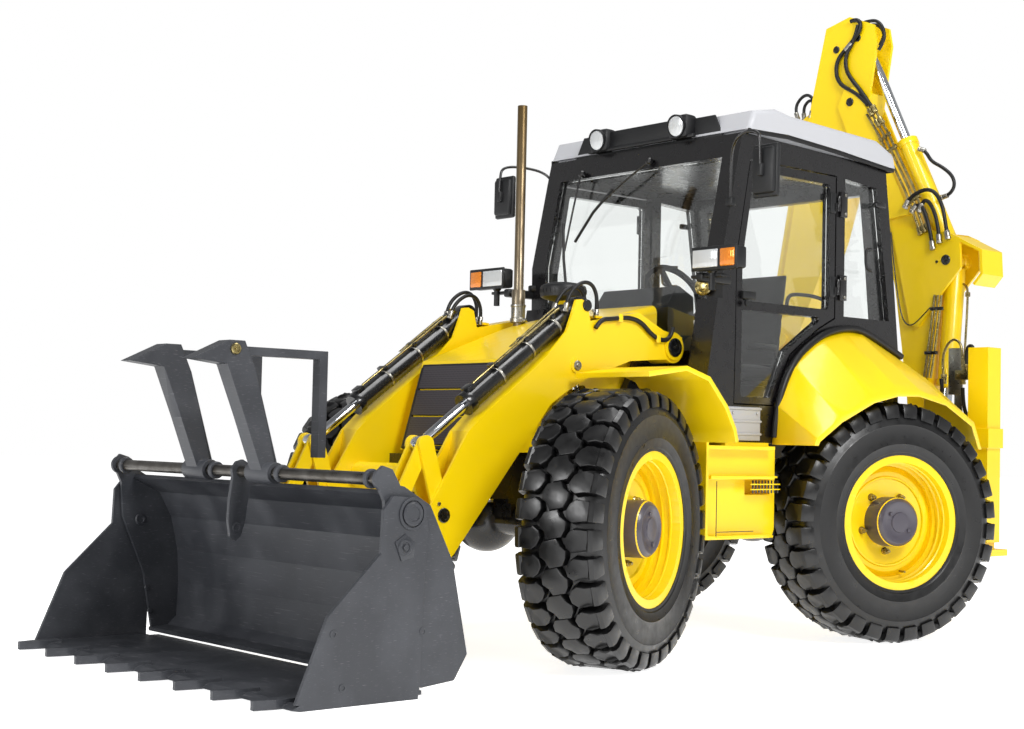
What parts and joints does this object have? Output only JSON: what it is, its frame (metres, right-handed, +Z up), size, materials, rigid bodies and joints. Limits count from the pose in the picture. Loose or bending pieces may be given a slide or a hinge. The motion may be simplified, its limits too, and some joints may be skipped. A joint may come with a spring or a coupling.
{
  "type": "backhoe loader",
  "caption": "Backhoe loader with a clam bucket and flip forks in front, glazed cab, steered wheels and a folded side-shift digger behind.",
  "frame": {"origin": "on the ground, at the middle of the machine's box", "axes": "+Z up, the machine drives towards -Y, its left side is +X"},
  "size_m": [2.7436, 6.006, 4.12],
  "materials": {
    "body_yellow": "semi-gloss machine enamel",
    "frame_black": "satin black paint",
    "cylinder_black": "satin black paint",
    "tool_dark": "worn dark grey paint",
    "chrome_rod": "ground and chromed rod",
    "steel": "bare and zinc plated steel",
    "rubber_tyre": "moulded tyre rubber",
    "window": "clear toughened glass",
    "roof_grey": "moulded grey roof",
    "seat_cloth": "woven seat cover",
    "cab_plastic": "grained black plastic",
    "engine_grey": "painted casting",
    "exhaust_metal": "heat tinted steel"
  },
  "bodies": {
    "chassis": {"chassis_frame": "frame_black", "engine_block": "engine_grey", "axles": "frame_black", "hood": "body_yellow", "grille": "cab_plastic", "exhaust_stack": "exhaust_metal", "front_fenders": "body_yellow", "rear_fenders": "body_yellow", "cab_frame": "frame_black", "cab_roof": "roof_grey", "cab_glass": "window", "cab_seat": "seat_cloth", "dash": "cab_plastic", "side_steps": "body_yellow", "lamps_mirrors": "cab_plastic", "backhoe_frame": "body_yellow"},
    "left_door": {"left_door": "frame_black", "left_door_glass": "window"},
    "right_door": {"right_door": "frame_black", "right_door_glass": "window"},
    "loader_arms": {"loader_arms": "body_yellow"},
    "tilt_levers": {"tilt_levers": "body_yellow"},
    "bucket_links": {"bucket_links": "body_yellow"},
    "tilt_barrels": {"tilt_cylinder_barrels": "cylinder_black"},
    "tilt_rods": {"tilt_cylinder_rods": "chrome_rod"},
    "lift_barrels": {"lift_cylinder_barrels": "cylinder_black"},
    "lift_rods": {"lift_cylinder_rods": "chrome_rod"},
    "loader_bucket": {"bucket_back": "tool_dark", "fork_tube": "steel"},
    "clam": {"bucket_clam": "tool_dark"},
    "forks": {"pallet_forks": "tool_dark"},
    "carriage": {"sideshift_carriage": "body_yellow"},
    "swing_post": {"swing_post": "body_yellow"},
    "boom": {"boom": "body_yellow"},
    "dipper": {"dipper": "body_yellow"},
    "boom_barrel": {"boom_cylinder_barrel": "body_yellow"},
    "boom_rod": {"boom_cylinder_rod": "chrome_rod"},
    "dipper_barrel": {"dipper_cylinder_barrel": "body_yellow"},
    "dipper_rod": {"dipper_cylinder_rod": "chrome_rod"},
    "bucket_barrel": {"bucket_cylinder_barrel": "body_yellow"},
    "bucket_rod": {"bucket_cylinder_rod": "chrome_rod"},
    "idlers": {"idler_links": "body_yellow"},
    "dig_link": {"dig_link": "body_yellow"},
    "dig_bucket": {"dig_bucket": "tool_dark"},
    "left_leg": {"left_stabiliser_leg": "body_yellow"},
    "right_leg": {"right_stabiliser_leg": "body_yellow"},
    "front_left_knuckle": {"front_left_knuckle": "frame_black"},
    "front_left_wheel": {"front_left_rim": "body_yellow", "front_left_tyre": "rubber_tyre"},
    "front_right_knuckle": {"front_right_knuckle": "frame_black"},
    "front_right_wheel": {"front_right_rim": "body_yellow", "front_right_tyre": "rubber_tyre"},
    "rear_left_knuckle": {"rear_left_knuckle": "frame_black"},
    "rear_left_wheel": {"rear_left_rim": "body_yellow", "rear_left_tyre": "rubber_tyre"},
    "rear_right_knuckle": {"rear_right_knuckle": "frame_black"},
    "rear_right_wheel": {"rear_right_rim": "body_yellow", "rear_right_tyre": "rubber_tyre"}
  },
  "joints": [
    {"name": "front_left_steer", "type": "hinge", "parent": "chassis", "child": "front_left_knuckle", "pos_m": [0.93, -0.882, 0.685], "axis": [0, 0, 1], "range_deg": [-41.2, 0.8]},
    {"name": "front_left_spin", "type": "hinge", "parent": "front_left_knuckle", "child": "front_left_wheel", "pos_m": [0.96754, -0.86819, 0.685], "axis": [0.9385, 0.3453, 0], "continuous": true},
    {"name": "front_right_steer", "type": "hinge", "parent": "chassis", "child": "front_right_knuckle", "pos_m": [-0.93, -0.882, 0.685], "axis": [0, 0, 1], "range_deg": [-41.2, 0.8]},
    {"name": "front_right_spin", "type": "hinge", "parent": "front_right_knuckle", "child": "front_right_wheel", "pos_m": [-0.96754, -0.89581, 0.685], "axis": [0.9385, 0.3453, 0], "continuous": true},
    {"name": "rear_left_steer", "type": "hinge", "parent": "chassis", "child": "rear_left_knuckle", "pos_m": [0.93, 1.288, 0.685], "axis": [0, 0, 1], "range_deg": [-3.2, 38.8]},
    {"name": "rear_left_spin", "type": "hinge", "parent": "rear_left_knuckle", "child": "rear_left_wheel", "pos_m": [0.96808, 1.27577, 0.685], "axis": [0.9521, -0.3057, 0], "continuous": true},
    {"name": "rear_right_steer", "type": "hinge", "parent": "chassis", "child": "rear_right_knuckle", "pos_m": [-0.93, 1.288, 0.685], "axis": [0, 0, 1], "range_deg": [-3.2, 38.8]},
    {"name": "rear_right_spin", "type": "hinge", "parent": "rear_right_knuckle", "child": "rear_right_wheel", "pos_m": [-0.96808, 1.30023, 0.685], "axis": [0.9521, -0.3057, 0], "continuous": true},
    {"name": "left_door_hinge", "type": "hinge", "parent": "chassis", "child": "left_door", "pos_m": [0.793, 1.088, 2], "axis": [0, 0, 1], "range_deg": [0, 75]},
    {"name": "right_door_hinge", "type": "hinge", "parent": "chassis", "child": "right_door", "pos_m": [-0.793, 1.088, 2], "axis": [0, 0, -1], "range_deg": [0, 75]},
    {"name": "loader_lift", "type": "hinge", "parent": "chassis", "child": "loader_arms", "pos_m": [0, -0.027, 1.63], "axis": [-1, 0, 0], "range_deg": [0, 80]},
    {"name": "lift_barrel_swing", "type": "hinge", "parent": "chassis", "child": "lift_barrels", "pos_m": [0, -0.247, 0.62], "axis": [-1, 0, 0], "range_deg": [-1, 30]},
    {"name": "lift_rod_stroke", "type": "slide", "parent": "lift_barrels", "child": "lift_rods", "axis": [0, -0.4986, 0.8668], "range_m": [-0.01, 0.78]},
    {"name": "bucket_tilt", "type": "hinge", "parent": "loader_arms", "child": "loader_bucket", "pos_m": [0, -1.883, 0.346], "axis": [1, 0, 0], "range_deg": [-40, 80]},
    {"name": "tilt_lever_swing", "type": "hinge", "parent": "loader_arms", "child": "tilt_levers", "pos_m": [0, -1.61, 0.734], "axis": [1, 0, 0], "range_deg": [-30, 58]},
    {"name": "bucket_link_swing", "type": "hinge", "parent": "tilt_levers", "child": "bucket_links", "pos_m": [0, -1.71, 1.0735], "axis": [1, 0, 0], "range_deg": [-48, 25]},
    {"name": "tilt_barrel_swing", "type": "hinge", "parent": "loader_arms", "child": "tilt_barrels", "pos_m": [0, -0.685, 1.815], "axis": [1, 0, 0], "range_deg": [-2, 2]},
    {"name": "tilt_rod_stroke", "type": "slide", "parent": "tilt_barrels", "child": "tilt_rods", "axis": [0, -0.8102, -0.5861], "range_m": [-0.18, 0.35]},
    {"name": "clam_open", "type": "hinge", "parent": "loader_bucket", "child": "clam", "pos_m": [0, -2.308, 0.783], "axis": [-1, 0, 0], "range_deg": [0, 60]},
    {"name": "fork_flip", "type": "hinge", "parent": "loader_bucket", "child": "forks", "pos_m": [0, -2.444, 0.928], "axis": [-1, 0, 0], "range_deg": [-110, 0]},
    {"name": "side_shift", "type": "slide", "parent": "chassis", "child": "carriage", "axis": [-1, 0, 0], "range_m": [0, 1.2]},
    {"name": "swing", "type": "hinge", "parent": "carriage", "child": "swing_post", "pos_m": [0.6, 2.703, 0.9], "axis": [0, 0, -1], "range_deg": [0, 180]},
    {"name": "boom_lift", "type": "hinge", "parent": "swing_post", "child": "boom", "pos_m": [0.33, 2.703, 0.95], "axis": [0, -1, 0], "range_deg": [0, 100]},
    {"name": "boom_barrel_swing", "type": "hinge", "parent": "boom", "child": "boom_barrel", "pos_m": [0.513, 2.703, 2.35], "axis": [0, -1, 0], "range_deg": [-1, 11]},
    {"name": "boom_rod_stroke", "type": "slide", "parent": "boom_barrel", "child": "boom_rod", "axis": [-0.0714, 0, -0.9974], "range_m": [-0.01, 0.6]},
    {"name": "dipper_swing", "type": "hinge", "parent": "boom", "child": "dipper", "pos_m": [-0.28, 2.703, 3.51], "axis": [0, 1, 0], "range_deg": [0, 110]},
    {"name": "dipper_barrel_swing", "type": "hinge", "parent": "boom", "child": "dipper_barrel", "pos_m": [0.513, 2.703, 2.35], "axis": [0, 1, 0], "range_deg": [-1, 10]},
    {"name": "dipper_rod_stroke", "type": "slide", "parent": "dipper_barrel", "child": "dipper_rod", "axis": [-0.4232, 0, 0.906], "range_m": [-0.75, 0.01]},
    {"name": "dig_bucket_turn", "type": "hinge", "parent": "dipper", "child": "dig_bucket", "pos_m": [-0.93, 2.703, 1.62], "axis": [0, 1, 0], "range_deg": [0, 95]},
    {"name": "idler_swing", "type": "hinge", "parent": "dipper", "child": "idlers", "pos_m": [-0.864, 2.703, 1.872], "axis": [0, 1, 0], "range_deg": [-1, 95]},
    {"name": "dig_link_swing", "type": "hinge", "parent": "idlers", "child": "dig_link", "pos_m": [-1.06, 2.703, 1.711], "axis": [0, 1, 0], "range_deg": [-94, 1]},
    {"name": "bucket_barrel_swing", "type": "hinge", "parent": "dipper", "child": "bucket_barrel", "pos_m": [-0.755, 2.703, 3.36], "axis": [0, 1, 0], "range_deg": [-1, 4]},
    {"name": "bucket_rod_stroke", "type": "slide", "parent": "bucket_barrel", "child": "bucket_rod", "axis": [-0.1819, 0, -0.9833], "range_m": [-0.38, 0.01]},
    {"name": "left_leg_slide", "type": "slide", "parent": "chassis", "child": "left_leg", "axis": [0, 0, -1], "range_m": [0, 0.5]},
    {"name": "right_leg_slide", "type": "slide", "parent": "chassis", "child": "right_leg", "axis": [0, 0, -1], "range_m": [0, 0.5]}
  ],
  "couplings": [
    {"joint": "front_right_steer", "follows": "front_left_steer", "ratio": 1},
    {"joint": "rear_right_steer", "follows": "rear_left_steer", "ratio": 1},
    {"joint": "lift_barrel_swing", "follows": "loader_lift", "ratio": 0.352},
    {"joint": "lift_rod_stroke", "follows": "loader_lift", "m_per_rad": 0.522},
    {"joint": "tilt_lever_swing", "follows": "bucket_tilt", "ratio": 0.70041},
    {"joint": "bucket_link_swing", "follows": "bucket_tilt", "ratio": -0.57411},
    {"joint": "tilt_barrel_swing", "follows": "bucket_tilt", "ratio": -0.01},
    {"joint": "tilt_rod_stroke", "follows": "bucket_tilt", "m_per_rad": 0.23606},
    {"joint": "boom_barrel_swing", "follows": "boom_lift", "ratio": 0.103},
    {"joint": "boom_rod_stroke", "follows": "boom_lift", "m_per_rad": 0.321},
    {"joint": "dipper_barrel_swing", "follows": "dipper_swing", "ratio": 0.085},
    {"joint": "dipper_rod_stroke", "follows": "dipper_swing", "m_per_rad": -0.372},
    {"joint": "idler_swing", "follows": "dig_bucket_turn", "ratio": 0.98838},
    {"joint": "dig_link_swing", "follows": "dig_bucket_turn", "ratio": -0.98005},
    {"joint": "bucket_barrel_swing", "follows": "dig_bucket_turn", "ratio": 0.03346},
    {"joint": "bucket_rod_stroke", "follows": "dig_bucket_turn", "m_per_rad": -0.22185}
  ]
}
